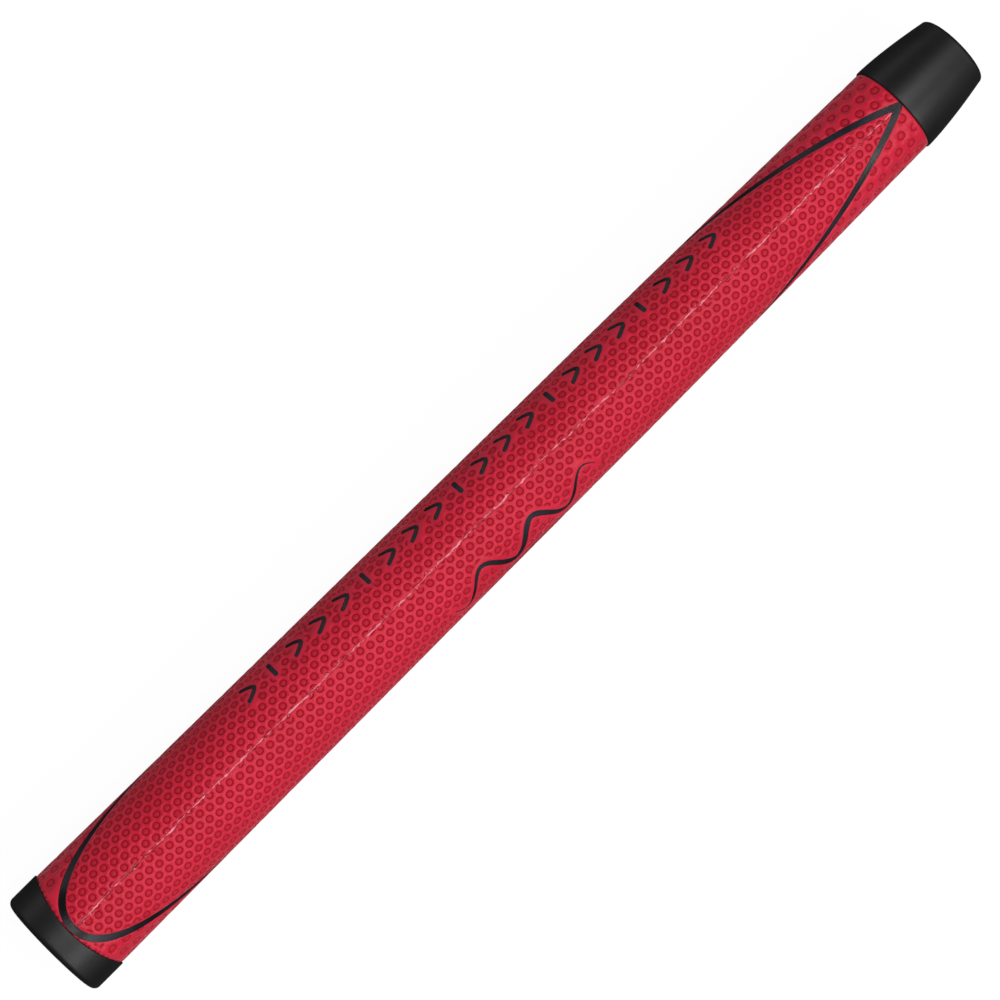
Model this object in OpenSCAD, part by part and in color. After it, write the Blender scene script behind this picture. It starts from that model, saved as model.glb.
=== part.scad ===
// Wrapped golf grip: a foam core tube with a rubber cap and collar, covered by one
// felt-backed polyurethane panel that closes along a straight seam.
// Row frame: the shaft leaves along +X, the seam lies on top (+Z), and the origin is the
// middle of the mouth. Profiles are drawn with z running from the mouth to the butt.

/* [Overall] */
// Length from the mouth edge to the crown of the butt cap
grip_len = 267; // [240:1:330]

/* [Shaft bore] */
// Diameter of the hole for the shaft, a 0.580 inch core
bore_d = 14.74; // [12:0.01:18]
// Diameter of the vent that lets air out while the shaft goes in
vent_d = 3; // [1.5:0.1:5]

/* [Walls around the bore] */
// Full wall, core and wrap together, where the wrap meets the butt cap
butt_wall = 5.12; // [4:0.01:6.5]
// Full wall at the waist, where the taper quickens
waist_wall = 4.16; // [3.4:0.01:5.2]
// Full wall where the wrap meets the mouth collar
mouth_wall = 3.1; // [2.6:0.01:4]
// Distance of the waist from the mouth
waist_at = 103; // [80:1:130]
// How fast the wrap swells from the waist to the butt
butt_swell = 1.4; // [1:0.05:2]
// How fast the wrap narrows from the waist to the mouth
mouth_fall = 1.25; // [1:0.05:2]

/* [Wrap layers] */
// Thickness of the polyurethane skin
skin_t = 0.8; // [0.5:0.05:1]
// Thickness of the felt behind the skin
felt_t = 0.9; // [0.5:0.05:1]
// Thickness of the cement film on the core
cement_t = 0.15; // [0.1:0.01:0.25]
// Width of the gap between the panel's edges along the seam
seam_gap = 0.5; // [0.3:0.05:1]

/* [Butt cap] */
// Length of the cap's skirt at the sides of the grip
cap_skirt_len = 8.4; // [6:0.1:12]
// Thickness of the cap's end wall
cap_end_t = 5; // [3:0.1:5.5]
// How far the cap stands proud of the wrap
cap_proud = 0.3; // [0.1:0.05:0.8]
// How much shorter the skirt is at the seam than at the sides
cap_arch = 2.5; // [0.5:0.1:3]
// Radius of the cap's end corner
cap_corner_r = 1.4; // [0.5:0.1:3]
// Height of the crown on the cap's end
cap_crown = 0.3; // [0.1:0.05:1]

/* [Mouth collar] */
// Length of the collar
collar_len = 18.4; // [14:0.1:26]
// How far the collar's rim stands proud of the wrap
collar_proud = 0.3; // [0.1:0.05:0.8]
// Wall of the collar at the mouth
collar_mouth_wall = 1.35; // [1:0.05:2.5]
// How round the collar's flank is; 1 is a straight cone
collar_flank = 1.55; // [1:0.05:2]
// Radius of the edge round the mouth
collar_edge_r = 0.9; // [0.3:0.1:1]
// Radius on the collar's rim
collar_rim_r = 0.3; // [0.1:0.05:0.4]
// Length of the core's nose inside the collar
nose_len = 10; // [6:0.1:12]

/* [Painted lines] */
// Width of both lines
line_w = 1.7; // [1:0.1:2.5]
// Thickness of all paint
paint_t = 0.12; // [0.08:0.01:0.2]
// Distance from the skirt's edge at the seam to the middle of the butt line's bow
butt_line_gap = 1; // [1:0.1:4]
// Distance the butt line runs from its bow to the side of the grip
butt_line_run = 36; // [20:1:50]
// How round the butt line's bow is
butt_line_bend = 2.2; // [1.5:0.05:3]
// Distance from the collar to the point of the mouth line
mouth_line_gap = 0.1; // [0:0.1:4]
// Distance the mouth line runs from its point to the side of the grip
mouth_line_run = 56; // [35:1:60]
// How round the mouth line's point is
mouth_line_bend = 1.18; // [1.05:0.01:1.5]

/* [Side marks] */
// Number of marks in the row
mark_count = 21; // [5:1:24]
// Distance from one mark to the next
mark_pitch = 6.7; // [5.5:0.1:7]
// Distance of the first mark from the mouth
mark_start = 65; // [60:1:90]
// Length of one mark along the grip
mark_len = 4.2; // [2.5:0.1:5]
// Width of a mark's stroke
mark_stroke = 1.1; // [0.6:0.1:1.5]
// Angle of the row's middle from the seam
mark_angle = 47; // [30:1:70]
// Angle that a mark covers round the grip
mark_spread = 24; // [12:1:30]

/* [Side emblem] */
// Distance of the emblem's near end from the mouth
emblem_start = 116; // [100:1:140]
// Length of the emblem
emblem_len = 44; // [30:1:60]
// Angle of the emblem's middle from the seam
emblem_angle = 50; // [40:1:60]
// Angle from the middle of the wave to its crest
emblem_swing = 15; // [8:1:20]
// Number of waves
emblem_waves = 3; // [2:1:5]
// Width of the wave's stroke
emblem_stroke = 1.5; // [0.8:0.1:2]
// Angle from the wave's middle to the rule beside it
rule_offset = 27; // [24:1:32]
// Width of the rule at its middle
rule_w = 0.9; // [0.4:0.1:1.5]

/* [Hidden] */

$fn = 96;
bore_r = bore_d / 2;
skirt_at = grip_len - cap_skirt_len;
core_end = grip_len - cap_end_t;
core_start = collar_len - nose_len;
butt_r = bore_r + butt_wall;
waist_r = bore_r + waist_wall;
mouth_r = bore_r + mouth_wall;
cap_r = butt_r + cap_proud;
rim_r = mouth_r + collar_proud;
lip_r = bore_r + collar_mouth_wall;
felt_depth = skin_t;
cement_depth = skin_t + felt_t;
core_depth = skin_t + felt_t + cement_t;
arch_r = (cap_r * cap_r + cap_arch * cap_arch) / (2 * cap_arch);
cut_margin = 1;
round_steps = 6;
flank_steps = 10;
body_steps = 22;
paint_step = 4;
mark_steps = 6;
emblem_steps = 66;

// Radius of the finished wrap: it narrows from the butt to a waist and again to the mouth.
function swell(z) = waist_r + (butt_r - waist_r) * pow((z - waist_at) / (skirt_at - waist_at), butt_swell);
function fall(z) = waist_r - (waist_r - mouth_r) * pow((waist_at - z) / (waist_at - collar_len), mouth_fall);
stations = [for (i = [0 : body_steps]) collar_len + (skirt_at - collar_len) * i / body_steps];
body = [for (z = stations) [z, z > waist_at ? swell(z) : fall(z)]];
function skin_r(z) = lookup(z, body);

// Where the skirt's arched edge meets the wrap at an angle from the seam.
function skirt_edge(angle) = skirt_at + arch_r - sqrt(arch_r * arch_r - pow(butt_r * cos(angle), 2));

// Lays a profile solid down along the row's -X, with its seam side up.
module lay_down() {
    rotate([0, -90, 0])
        children();
}

// A tube that follows the wrap between two depths below its surface.
module layer(start, end, outer_depth, inner_depth) {
    inside = [for (z = stations) if (z > start && z < end) z];
    cuts = concat([start], inside, [end]);
    backward = [for (i = [len(cuts) - 1 : -1 : 0]) cuts[i]];
    rotate_extrude()
        polygon(concat([for (z = cuts) [skin_r(z) - inner_depth, z]],
                       [for (z = backward) [skin_r(z) - outer_depth, z]]));
}

// Everything on the cap's side of the skirt's arched edge.
module cap_side() {
    translate([0, 0, skirt_at + arch_r])
        rotate([90, 0, 0])
            cylinder(r = arch_r, h = 2 * (cap_r + cut_margin), center = true);
}

// The straight gap between the panel's two edges.
module seam_slot() {
    translate([0, -seam_gap / 2, collar_len - cut_margin])
        cube([cap_r + cut_margin, seam_gap, grip_len]);
}

// The part of a wrap layer that lies between the collar and the cap's skirt.
module wrap_layer(outer_depth, inner_depth) {
    difference() {
        layer(collar_len, skirt_at + cap_arch, outer_depth, inner_depth);
        cap_side();
    }
}

module core_tube() {
    color("dimgray")
        lay_down()
            difference() {
                rotate_extrude()
                    polygon(concat([[0, core_start], [skin_r(collar_len) - core_depth, core_start]],
                                   [for (p = body) [p[1] - core_depth, p[0]]],
                                   [[skin_r(skirt_at) - core_depth, core_end], [0, core_end]]));
                translate([0, 0, core_start - cut_margin])
                    cylinder(r = bore_r, h = grip_len);
            }
}

module butt_cap() {
    crown_edge = cap_r - cap_corner_r;
    crown = [for (i = [0 : round_steps])
             let (u = i / round_steps)
             [crown_edge * u, grip_len - cap_crown * u * u]];
    corner = [for (i = [1 : round_steps])
              let (a = 90 * (1 - i / round_steps))
              [crown_edge + cap_corner_r * cos(a), grip_len - cap_crown - cap_corner_r * (1 - sin(a))]];
    color("#1b1b1d")
        lay_down()
            difference() {
                intersection() {
                    rotate_extrude()
                        polygon(concat(crown, corner, [[cap_r, skirt_at], [0, skirt_at]]));
                    cap_side();
                }
                translate([0, 0, skirt_at - cut_margin])
                    cylinder(r = butt_r - core_depth + cement_t, h = core_end - skirt_at + cut_margin);
                cylinder(d = vent_d, h = grip_len + cut_margin);
            }
}

module mouth_collar() {
    edge = [for (i = [0 : round_steps])
            let (a = 90 * i / round_steps)
            [lip_r - collar_edge_r * (1 - sin(a)), collar_edge_r * (1 - cos(a))]];
    flank = [for (i = [1 : flank_steps])
             let (u = i / flank_steps, z = collar_edge_r + (collar_len - collar_rim_r - collar_edge_r) * u)
             [rim_r - (rim_r - lip_r) * pow(1 - u, collar_flank), z]];
    rim = [for (i = [1 : round_steps])
           let (a = 90 * i / round_steps)
           [rim_r - collar_rim_r * (1 - cos(a)), collar_len - collar_rim_r * (1 - sin(a))]];
    color("#1b1b1d")
        lay_down()
            difference() {
                rotate_extrude()
                    polygon(concat([[0, 0]], edge, flank, rim, [[0, collar_len]]));
                translate([0, 0, -cut_margin])
                    cylinder(r = bore_r, h = collar_len + 2 * cut_margin);
                translate([0, 0, core_start])
                    cylinder(r = mouth_r - core_depth + cement_t, h = nose_len + cut_margin);
            }
}

module cement_film() {
    color("#c9b48a")
        lay_down()
            layer(core_start, core_end, cement_depth, core_depth);
}

module felt_backing() {
    color("#b9b4ab")
        lay_down()
            difference() {
                wrap_layer(felt_depth, cement_depth);
                seam_slot();
            }
}

module pu_skin() {
    color("#dc324b")
        lay_down()
            difference() {
                wrap_layer(0, felt_depth);
                seam_slot();
            }
}

module seam_bead() {
    color("#f0a9ae")
        lay_down()
            intersection() {
                wrap_layer(0, cement_depth);
                seam_slot();
            }
}

// A point on or above the wrap: z from the mouth, angle from the seam, height over the skin.
function on_skin(z, angle, height) =
    let (r = (skin_r(z) + height) / cos(paint_step / 2))
    [r * cos(angle), r * sin(angle), z];

// A film of paint along a list of stations, each [z_low, angle_low, z_high, angle_high].
module paint_film(rows, closed) {
    n = len(rows);
    points = [for (q = rows)
              each [on_skin(q[0], q[1], 0), on_skin(q[0], q[1], paint_t),
                    on_skin(q[2], q[3], paint_t), on_skin(q[2], q[3], 0)]];
    sides = [for (i = [0 : n - (closed ? 1 : 2)], k = [0 : 3])
             let (a = 4 * i, b = 4 * ((i + 1) % n), m = (k + 1) % 4)
             each [[a + k, b + k, b + m], [a + k, b + m, a + m]]];
    last = 4 * (n - 1);
    ends = closed ? [] : [[0, 1, 2], [0, 2, 3], [last + 2, last + 1, last], [last + 3, last + 2, last]];
    polyhedron(points, concat(sides, ends));
}

// How far a line has run along the grip at an angle from the seam. The far half of the way
// round repeats the near half, turned end for end.
function near_run(angle, run, bend) = run * pow(angle / 90, bend);
function line_run(angle, run, bend) =
    angle <= 90 ? near_run(angle, run, bend) : 2 * run - near_run(180 - angle, run, bend);

// Half of a line's extent along the grip, which grows where the line runs along it.
function line_half(angle, run, bend) =
    let (a = min(max(angle, paint_step), 180 - paint_step),
         rise = line_run(a + paint_step, run, bend) - line_run(a - paint_step, run, bend),
         round_len = waist_r * 2 * paint_step * PI / 180)
    line_w / 2 * sqrt(1 + pow(rise / round_len, 2));

module painted_line(start, direction, run, bend) {
    rows = [for (turn = [-180 : paint_step : 180 - paint_step])
            let (angle = abs(turn),
                 z = start + direction * line_run(angle, run, bend),
                 half = line_half(angle, run, bend),
                 low = max(z - half, collar_len),
                 high = min(z + half, skirt_edge(turn)))
            [low, turn, high, turn]];
    color("#17171b")
        lay_down()
            paint_film(rows, true);
}

module butt_line() {
    painted_line(skirt_edge(0) - butt_line_gap, -1, butt_line_run, butt_line_bend);
}

module mouth_line() {
    painted_line(collar_len + line_w / 2 + mouth_line_gap, 1, mouth_line_run, mouth_line_bend);
}

// One mark: a chevron that points to the mouth, or a plain bar.
module side_mark(start, is_bar) {
    reach = is_bar ? 0 : mark_len - mark_stroke;
    near = start + (is_bar ? (mark_len - mark_stroke) / 2 : 0);
    rows = [for (i = [0 : mark_steps])
            let (u = i / mark_steps,
                 angle = mark_angle + mark_spread * (u - 0.5),
                 z = near + reach * abs(2 * u - 1))
            [z, angle, z + mark_stroke, angle]];
    paint_film(rows, false);
}

module side_marks() {
    color("#17171b")
        lay_down()
            for (i = [0 : mark_count - 1])
                side_mark(mark_start + i * mark_pitch, i % 4 == 3);
}

module side_emblem() {
    wave = [for (i = [0 : emblem_steps])
            let (u = i / emblem_steps,
                 z = emblem_start + emblem_len * u,
                 middle = -emblem_angle + emblem_swing * sin(360 * emblem_waves * u),
                 half = emblem_stroke / 2 / skin_r(z) * 180 / PI * (0.15 + 0.85 * sin(180 * u)))
            [z, middle + half, z, middle - half]];
    rule = [for (i = [0 : mark_steps])
            let (u = i / mark_steps,
                 z = emblem_start + emblem_len * (0.1 + 0.8 * u),
                 middle = -emblem_angle - rule_offset,
                 half = rule_w / 2 / skin_r(z) * 180 / PI * (0.15 + 0.85 * sin(180 * u)))
            [z, middle + half, z, middle - half]];
    color("#17171b")
        lay_down() {
            paint_film(wave, false);
            paint_film(rule, false);
        }
}

core_tube();
butt_cap();
mouth_collar();
cement_film();
felt_backing();
pu_skin();
seam_bead();
butt_line();
mouth_line();
side_marks();
side_emblem();
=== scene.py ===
import math
import random

import bmesh
import bpy
import numpy as np
from mathutils import Matrix, Vector
from mathutils.geometry import delaunay_2d_cdt
from mathutils.kdtree import KDTree


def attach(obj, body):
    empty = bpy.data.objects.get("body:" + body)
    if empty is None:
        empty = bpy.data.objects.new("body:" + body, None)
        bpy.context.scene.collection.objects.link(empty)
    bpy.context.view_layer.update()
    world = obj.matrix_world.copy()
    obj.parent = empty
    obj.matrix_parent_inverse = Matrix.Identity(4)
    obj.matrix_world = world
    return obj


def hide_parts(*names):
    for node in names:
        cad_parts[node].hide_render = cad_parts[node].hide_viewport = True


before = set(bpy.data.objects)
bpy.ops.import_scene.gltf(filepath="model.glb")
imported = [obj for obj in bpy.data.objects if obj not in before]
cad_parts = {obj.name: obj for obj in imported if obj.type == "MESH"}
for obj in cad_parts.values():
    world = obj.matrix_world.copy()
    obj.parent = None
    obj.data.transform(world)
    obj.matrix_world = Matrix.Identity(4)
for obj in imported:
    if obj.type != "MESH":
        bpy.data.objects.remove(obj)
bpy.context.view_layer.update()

# ---------------------------------------------------------------------------------------
# Core tube: the sleeve of black EVA foam that the shaft is pressed into. It is moulded
# with closed cells, which show in the bore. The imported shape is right, so it stays.

CORE_DARK = (0.012, 0.012, 0.014, 1)
CORE_LIGHT = (0.03, 0.03, 0.033, 1)
GRAIN_STRENGTH = 0.6


def build_surface_grain():
    """Fine grain for a bump, and slow mottling for colour and roughness."""
    group = bpy.data.node_groups.new("surface_grain", "ShaderNodeTree")
    for name in ("Grain Scale", "Mottle Scale"):
        group.interface.new_socket(name, in_out="INPUT", socket_type="NodeSocketFloat")
    for name in ("Height", "Mottle"):
        group.interface.new_socket(name, in_out="OUTPUT", socket_type="NodeSocketFloat")
    inputs = group.nodes.new("NodeGroupInput")
    outputs = group.nodes.new("NodeGroupOutput")
    place = group.nodes.new("ShaderNodeTexCoord")
    grain = group.nodes.new("ShaderNodeTexNoise")
    grain.inputs["Detail"].default_value = 4
    mottle = group.nodes.new("ShaderNodeTexNoise")
    mottle.inputs["Detail"].default_value = 3
    for noise, scale in ((grain, "Grain Scale"), (mottle, "Mottle Scale")):
        group.links.new(place.outputs["Object"], noise.inputs["Vector"])
        group.links.new(inputs.outputs[scale], noise.inputs["Scale"])
    group.links.new(grain.outputs["Fac"], outputs.inputs["Height"])
    group.links.new(mottle.outputs["Fac"], outputs.inputs["Mottle"])
    return group


surface_grain = build_surface_grain()


def map_range(nodes, links, source, low, high, to_low, to_high):
    """A value stretched from one range to another, and held at the ends."""
    node = nodes.new("ShaderNodeMapRange")
    node.inputs["From Min"].default_value = low
    node.inputs["From Max"].default_value = high
    node.inputs["To Min"].default_value = to_low
    node.inputs["To Max"].default_value = to_high
    links.new(source, node.inputs["Value"])
    return node.outputs["Result"]


def mix_colour(nodes, links, amount, first, second):
    """Two colours mixed. Each is a socket or a fixed colour."""
    node = nodes.new("ShaderNodeMix")
    node.data_type = "RGBA"
    links.new(amount, node.inputs[0])
    for socket, colour in ((node.inputs[6], first), (node.inputs[7], second)):
        if isinstance(colour, tuple):
            socket.default_value = colour
        else:
            links.new(colour, socket)
    return node.outputs[2]


def finish_with(name, dark, light, rough_low, rough_high, grain_scale, mottle_scale, grain_depth):
    """A finish of two shades and two roughnesses that change slowly, over a fine grain."""
    made = bpy.data.materials.new(name)
    made.use_nodes = True
    nodes, links = made.node_tree.nodes, made.node_tree.links
    shader = nodes["Principled BSDF"]
    grain = nodes.new("ShaderNodeGroup")
    grain.node_tree = surface_grain
    grain.inputs["Grain Scale"].default_value = grain_scale
    grain.inputs["Mottle Scale"].default_value = mottle_scale
    patch = map_range(nodes, links, grain.outputs["Mottle"], 0.35, 0.65, 0, 1)
    colour = mix_colour(nodes, links, patch, dark, light)
    links.new(colour, shader.inputs["Base Color"])
    rough = map_range(nodes, links, grain.outputs["Mottle"], 0.3, 0.7, rough_low, rough_high)
    links.new(rough, shader.inputs["Roughness"])
    bump = nodes.new("ShaderNodeBump")
    bump.inputs["Distance"].default_value = grain_depth
    bump.inputs["Strength"].default_value = GRAIN_STRENGTH
    links.new(grain.outputs["Height"], bump.inputs["Height"])
    links.new(bump.outputs["Normal"], shader.inputs["Normal"])
    return made


def dress(node, finish):
    """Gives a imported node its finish."""
    if not node.material_slots:
        node.data.materials.append(finish)
    for holder in node.material_slots:
        holder.material = finish


core_foam = finish_with("core_foam", CORE_DARK, CORE_LIGHT, 0.75, 0.95, 2600, 140, 0.0003)
dress(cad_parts["core_tube"], core_foam)

# ---------------------------------------------------------------------------------------
# Cement film: the contact cement brushed on the core before it is wrapped. It dries to a
# thin amber film with brush marks. Only its edge could ever be seen.

CEMENT_DARK = (0.42, 0.27, 0.10, 1)
CEMENT_LIGHT = (0.55, 0.40, 0.19, 1)

cement = finish_with("cement", CEMENT_DARK, CEMENT_LIGHT, 0.25, 0.5, 900, 120, 0.0001)
dress(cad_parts["cement_film"], cement)

# ---------------------------------------------------------------------------------------
# Felt backing: the fibre felt laminated behind the skin, cut with it as one panel. It
# lies under the skin, and shows as a pale fleck at the bottom of the seam.

FELT_DARK = (0.46, 0.42, 0.38, 1)
FELT_LIGHT = (0.62, 0.58, 0.53, 1)

felt = finish_with("felt", FELT_DARK, FELT_LIGHT, 0.9, 1.0, 3200, 300, 0.0004)
dress(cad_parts["felt_backing"], felt)

# ---------------------------------------------------------------------------------------
# Skin: one panel of red polyurethane, wrapped round and closed along the top. Small rings
# are embossed all over it, close together between the two painted lines and wider apart
# outside them, and shallow channels are pressed in for all the paint. Sizes here are mm.

COLLAR_LEN = 18.4
WAIST_AT = 103
SKIRT_AT = 258.6
MOUTH_R = 10.47
WAIST_R = 11.53
BUTT_R = 12.49
CAP_R = 12.79
BUTT_SWELL = 1.4
MOUTH_FALL = 1.25
CAP_ARCH = 2.5
ARCH_R = (CAP_R ** 2 + CAP_ARCH ** 2) / (2 * CAP_ARCH)
SKIN_T = 0.8
CUT_AT = COLLAR_LEN + 0.05

LINE_W = 1.7
SKIRT_TOP = SKIRT_AT + ARCH_R - math.sqrt(ARCH_R ** 2 - BUTT_R ** 2)
BUTT_LINE = dict(start=SKIRT_TOP - 1.0, way=-1, run=36, bend=2.2, crumple=0.012)
MOUTH_LINE = dict(start=COLLAR_LEN + LINE_W / 2 + 0.1, way=1, run=56, bend=1.18, crumple=0.14)
LINE_TURNS_BACK = 2.2
CHANNEL_DEPTH = 0.2
CHANNEL_WALL = 0.13

MARK_COUNT = 21
MARK_PITCH = 6.7
MARK_START = 65
MARK_LEN = 4.2
MARK_STROKE = 1.1
MARK_ANGLE = 47
MARK_SPREAD = 21
MARK_BEND = 0.45
MARK_EASE = 0.11
BAR_EVERY = 4
EMBLEM_START = 116
EMBLEM_LEN = 44
EMBLEM_ANGLE = -50
EMBLEM_SWING = 15
EMBLEM_WAVES = 3
EMBLEM_STROKE = 1.5
RULE_OFFSET = 27
RULE_W = 0.9
TIP_SWELL = 0.15
NARROWEST = 0.03
STROKE_STEPS = 4

SEAM_GAP = 0.2
SEAM_PITCH = 0.32
RING_SIDES = 9
LATTICE_TURN = 14
LATTICE_REACH = 300
LATTICE_MIDDLE = 140
GROOVE_FULL = 0.2


def wrap_r(z):
    """Radius of the finished wrap at a distance from the mouth."""
    rise = np.clip((z - WAIST_AT) / (SKIRT_AT - WAIST_AT), 0, 1) ** BUTT_SWELL
    drop = np.clip((WAIST_AT - z) / (WAIST_AT - COLLAR_LEN), 0, 1) ** MOUTH_FALL
    return WAIST_R + (BUTT_R - WAIST_R) * rise - (WAIST_R - MOUTH_R) * drop


def at_angle(z, angle, height):
    """Points in metres, from mm along the grip, degrees from the seam and mm over the wrap."""
    r = wrap_r(z) + height
    turn = np.radians(angle)
    return np.column_stack((-z, r * np.sin(turn), r * np.cos(turn))) / 1000


def angle_of(z, across):
    """Degrees from the seam, 0 to 360, of a point on the panel laid flat."""
    return np.degrees(across / wrap_r(z)) + 180


def signed(angle):
    """An angle from 0 to 360 as -180 to 180."""
    return (np.asarray(angle) + 180) % 360 - 180


def slow_noise(seed, pitch, length=300):
    """A smooth random curve along the grip, from -1 to 1."""
    draw = random.Random(seed)
    knots = [draw.uniform(-1, 1) for _ in range(int(length / pitch) + 3)]

    def curve(at):
        at = np.asarray(at, dtype=float) / pitch
        low = np.floor(at).astype(int) % (len(knots) - 1)
        part = at - np.floor(at)
        part = part * part * (3 - 2 * part)
        values = np.array(knots)
        return values[low] * (1 - part) + values[low + 1] * part

    return curve


def line_run(angle, line):
    """How far a painted line has run along the grip at an angle from the seam."""
    a = np.abs(signed(angle))
    near = line["run"] * (np.minimum(a, 180 - a) / 90) ** line["bend"]
    return np.where(a <= 90, near, 2 * line["run"] - near)


def line_middle(angle, line):
    return line["start"] + line["way"] * line_run(angle, line)


def line_stretch(angle, line):
    """Length of a line's cut along the grip for each mm of its width."""
    a = np.clip(np.abs(signed(angle)), LINE_TURNS_BACK, 180 - LINE_TURNS_BACK)
    slope = (line_run(a + 1, line) - line_run(a - 1, line)) / (WAIST_R * math.radians(2))
    return np.sqrt(1 + slope ** 2)


def inside_line(z, angle, line):
    """How far a point is inside a painted line's edge, in mm; outside it is negative."""
    off = np.abs(z - line_middle(angle, line)) / line_stretch(angle, line)
    return LINE_W / 2 - off


def stroke(middle, half):
    """A painted stroke on the flat panel: its middle line and its half width, both sampled."""
    middle = np.array(middle, dtype=float)
    ahead = np.gradient(middle, axis=0)
    ahead /= np.linalg.norm(ahead, axis=1)[:, None]
    side = np.column_stack((-ahead[:, 1], ahead[:, 0]))
    return dict(middle=middle, half=np.array(half, dtype=float), side=side)


def rounded_ends(middle, half):
    """Half widths that close to a round end at both ends of a stroke."""
    steps = np.linalg.norm(np.diff(middle, axis=0), axis=1)
    run = np.concatenate(([0], np.cumsum(steps)))
    to_end = np.minimum(run, run[-1] - run)
    short = np.clip(1 - to_end / half, 0, 1)
    return half * np.sqrt(np.clip(1 - short ** 2, 0.0004, 1))


def eased(count):
    """Steps from 0 to 1, closer together at both ends."""
    u = np.linspace(0, 1, count)
    return u - MARK_EASE * np.sin(2 * math.pi * u)


def mark_strokes():
    """The row of marks: chevrons that point to the mouth, and every fourth a plain bar."""
    made = []
    u = eased(21)
    t = 2 * u - 1
    bent = (np.sqrt(t ** 2 + MARK_BEND ** 2) - MARK_BEND) / (math.sqrt(1 + MARK_BEND ** 2) - MARK_BEND)
    reach = MARK_LEN - MARK_STROKE
    angle = MARK_ANGLE + MARK_SPREAD * (u - 0.5)
    for i in range(MARK_COUNT):
        bar = i % BAR_EVERY == BAR_EVERY - 1
        low = MARK_START + i * MARK_PITCH + MARK_STROKE / 2
        z = low + (np.full(len(u), reach / 2) if bar else reach * bent)
        middle = np.column_stack((z, np.radians(angle - 180) * wrap_r(z)))
        made.append(stroke(middle, rounded_ends(middle, MARK_STROKE / 2)))
    return made


def emblem_strokes():
    """The emblem: a tapered wave, and a tapered rule beside it."""
    u = np.linspace(0, 1, 121)
    z = EMBLEM_START + EMBLEM_LEN * u
    angle = EMBLEM_ANGLE + EMBLEM_SWING * np.sin(2 * math.pi * EMBLEM_WAVES * u) + 360
    wave = np.column_stack((z, np.radians(angle - 180) * wrap_r(z)))
    swell = TIP_SWELL + (1 - TIP_SWELL) * np.sin(math.pi * u)
    made = [stroke(wave, rounded_ends(wave, EMBLEM_STROKE / 2) * swell)]
    u = np.linspace(0, 1, 41)
    z = EMBLEM_START + EMBLEM_LEN * (0.1 + 0.8 * u)
    angle = EMBLEM_ANGLE - RULE_OFFSET + 360
    rule = np.column_stack((z, math.radians(angle - 180) * wrap_r(z)))
    swell = TIP_SWELL + (1 - TIP_SWELL) * np.sin(math.pi * u)
    made.append(stroke(rule, rounded_ends(rule, RULE_W / 2) * swell))
    return made


marks = mark_strokes()
emblem = emblem_strokes()
all_strokes = marks + emblem


def outline(shape, grow):
    """The closed outline of a stroke, grown outwards or shrunk inwards."""
    keep = shape["half"] + grow > NARROWEST
    middle, side = shape["middle"][keep], shape["side"][keep]
    half = (shape["half"][keep] + grow)[:, None]
    return np.vstack((middle + side * half, (middle - side * half)[::-1]))


stroke_tree = KDTree(sum(len(s["middle"]) * STROKE_STEPS for s in all_strokes))
stroke_half = []
for shape in all_strokes:
    last = len(shape["middle"]) - 1
    for i in range(last * STROKE_STEPS + 1):
        k = min(i // STROKE_STEPS, last - 1)
        part = (i - STROKE_STEPS * k) / STROKE_STEPS
        spot = shape["middle"][k] * (1 - part) + shape["middle"][k + 1] * part
        stroke_tree.insert((spot[0], spot[1], 0), len(stroke_half))
        stroke_half.append(shape["half"][k] * (1 - part) + shape["half"][k + 1] * part)
stroke_tree.balance()


def inside_stroke(z, across):
    """How far each point is inside a stroke's edge, in mm; outside it is negative."""
    margin = 3
    far_outside = -9.0
    near_z = (z > MARK_START - margin) & (z < MARK_START + MARK_COUNT * MARK_PITCH + margin)
    depth = np.full(len(z), far_outside)
    for i in np.nonzero(near_z)[0]:
        _, at, off = stroke_tree.find((z[i], across[i], 0))
        depth[i] = stroke_half[at] - off
    return depth


def skirt_edge(angle):
    """Where the cap's arched skirt meets the wrap at an angle from the seam."""
    level = BUTT_R * np.cos(np.radians(angle))
    return SKIRT_AT + ARCH_R - np.sqrt(ARCH_R ** 2 - level ** 2)


SEAM_DRIFTS = 0.22
SEAM_WAVERS = 0.17
SEAM_NIBBLES = 0.13
SEAM_UNEVEN = 0.6

seam_drift = slow_noise(11, 17)
seam_waver = slow_noise(12, 4.3)
seam_nibble = slow_noise(13, 0.7)
seam_width = slow_noise(14, 1.3)


def seam_at(z):
    """How far the seam has wandered round the grip, in mm."""
    return SEAM_DRIFTS * seam_drift(z) + SEAM_WAVERS * seam_waver(z) + SEAM_NIBBLES * seam_nibble(z)


def seam_half_gap(z):
    """Half the gap between the panel's long edges, in mm."""
    return SEAM_GAP / 2 * (1 + SEAM_UNEVEN * seam_width(z))


def seam_sides(z):
    """The panel's two long edges, laid flat: the left one, and the right one."""
    half_round = math.pi * wrap_r(z)
    return -half_round + seam_at(z) + seam_half_gap(z), half_round + seam_at(z) - seam_half_gap(z)


# Dents and crushed spots beside the seam: [distance from the mouth, offset, size, depth].
# Nicks along the edge of the skirt: [angle, size, depth].
DENT_STRETCH = 1.4
DENTS_FROM = 27.0
DENTS_TO = 256
dent_draw = random.Random(21)
dents = []
dent_z = DENTS_FROM
while dent_z < DENTS_TO:
    side = dent_draw.choice((-1, 1)) * dent_draw.uniform(0.2, 0.75)
    dents.append((dent_z, side, dent_draw.uniform(0.26, 0.5), dent_draw.uniform(0.12, 0.3)))
    dent_z += dent_draw.uniform(1.6, 6.0)
nick_draw = random.Random(22)
nicks = []
nick_at = 0.0
while nick_at < 359:
    nicks.append((nick_at, nick_draw.uniform(0.22, 0.42), nick_draw.uniform(0.28, 0.5)))
    nick_at += nick_draw.uniform(4.6, 8.6)


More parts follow.
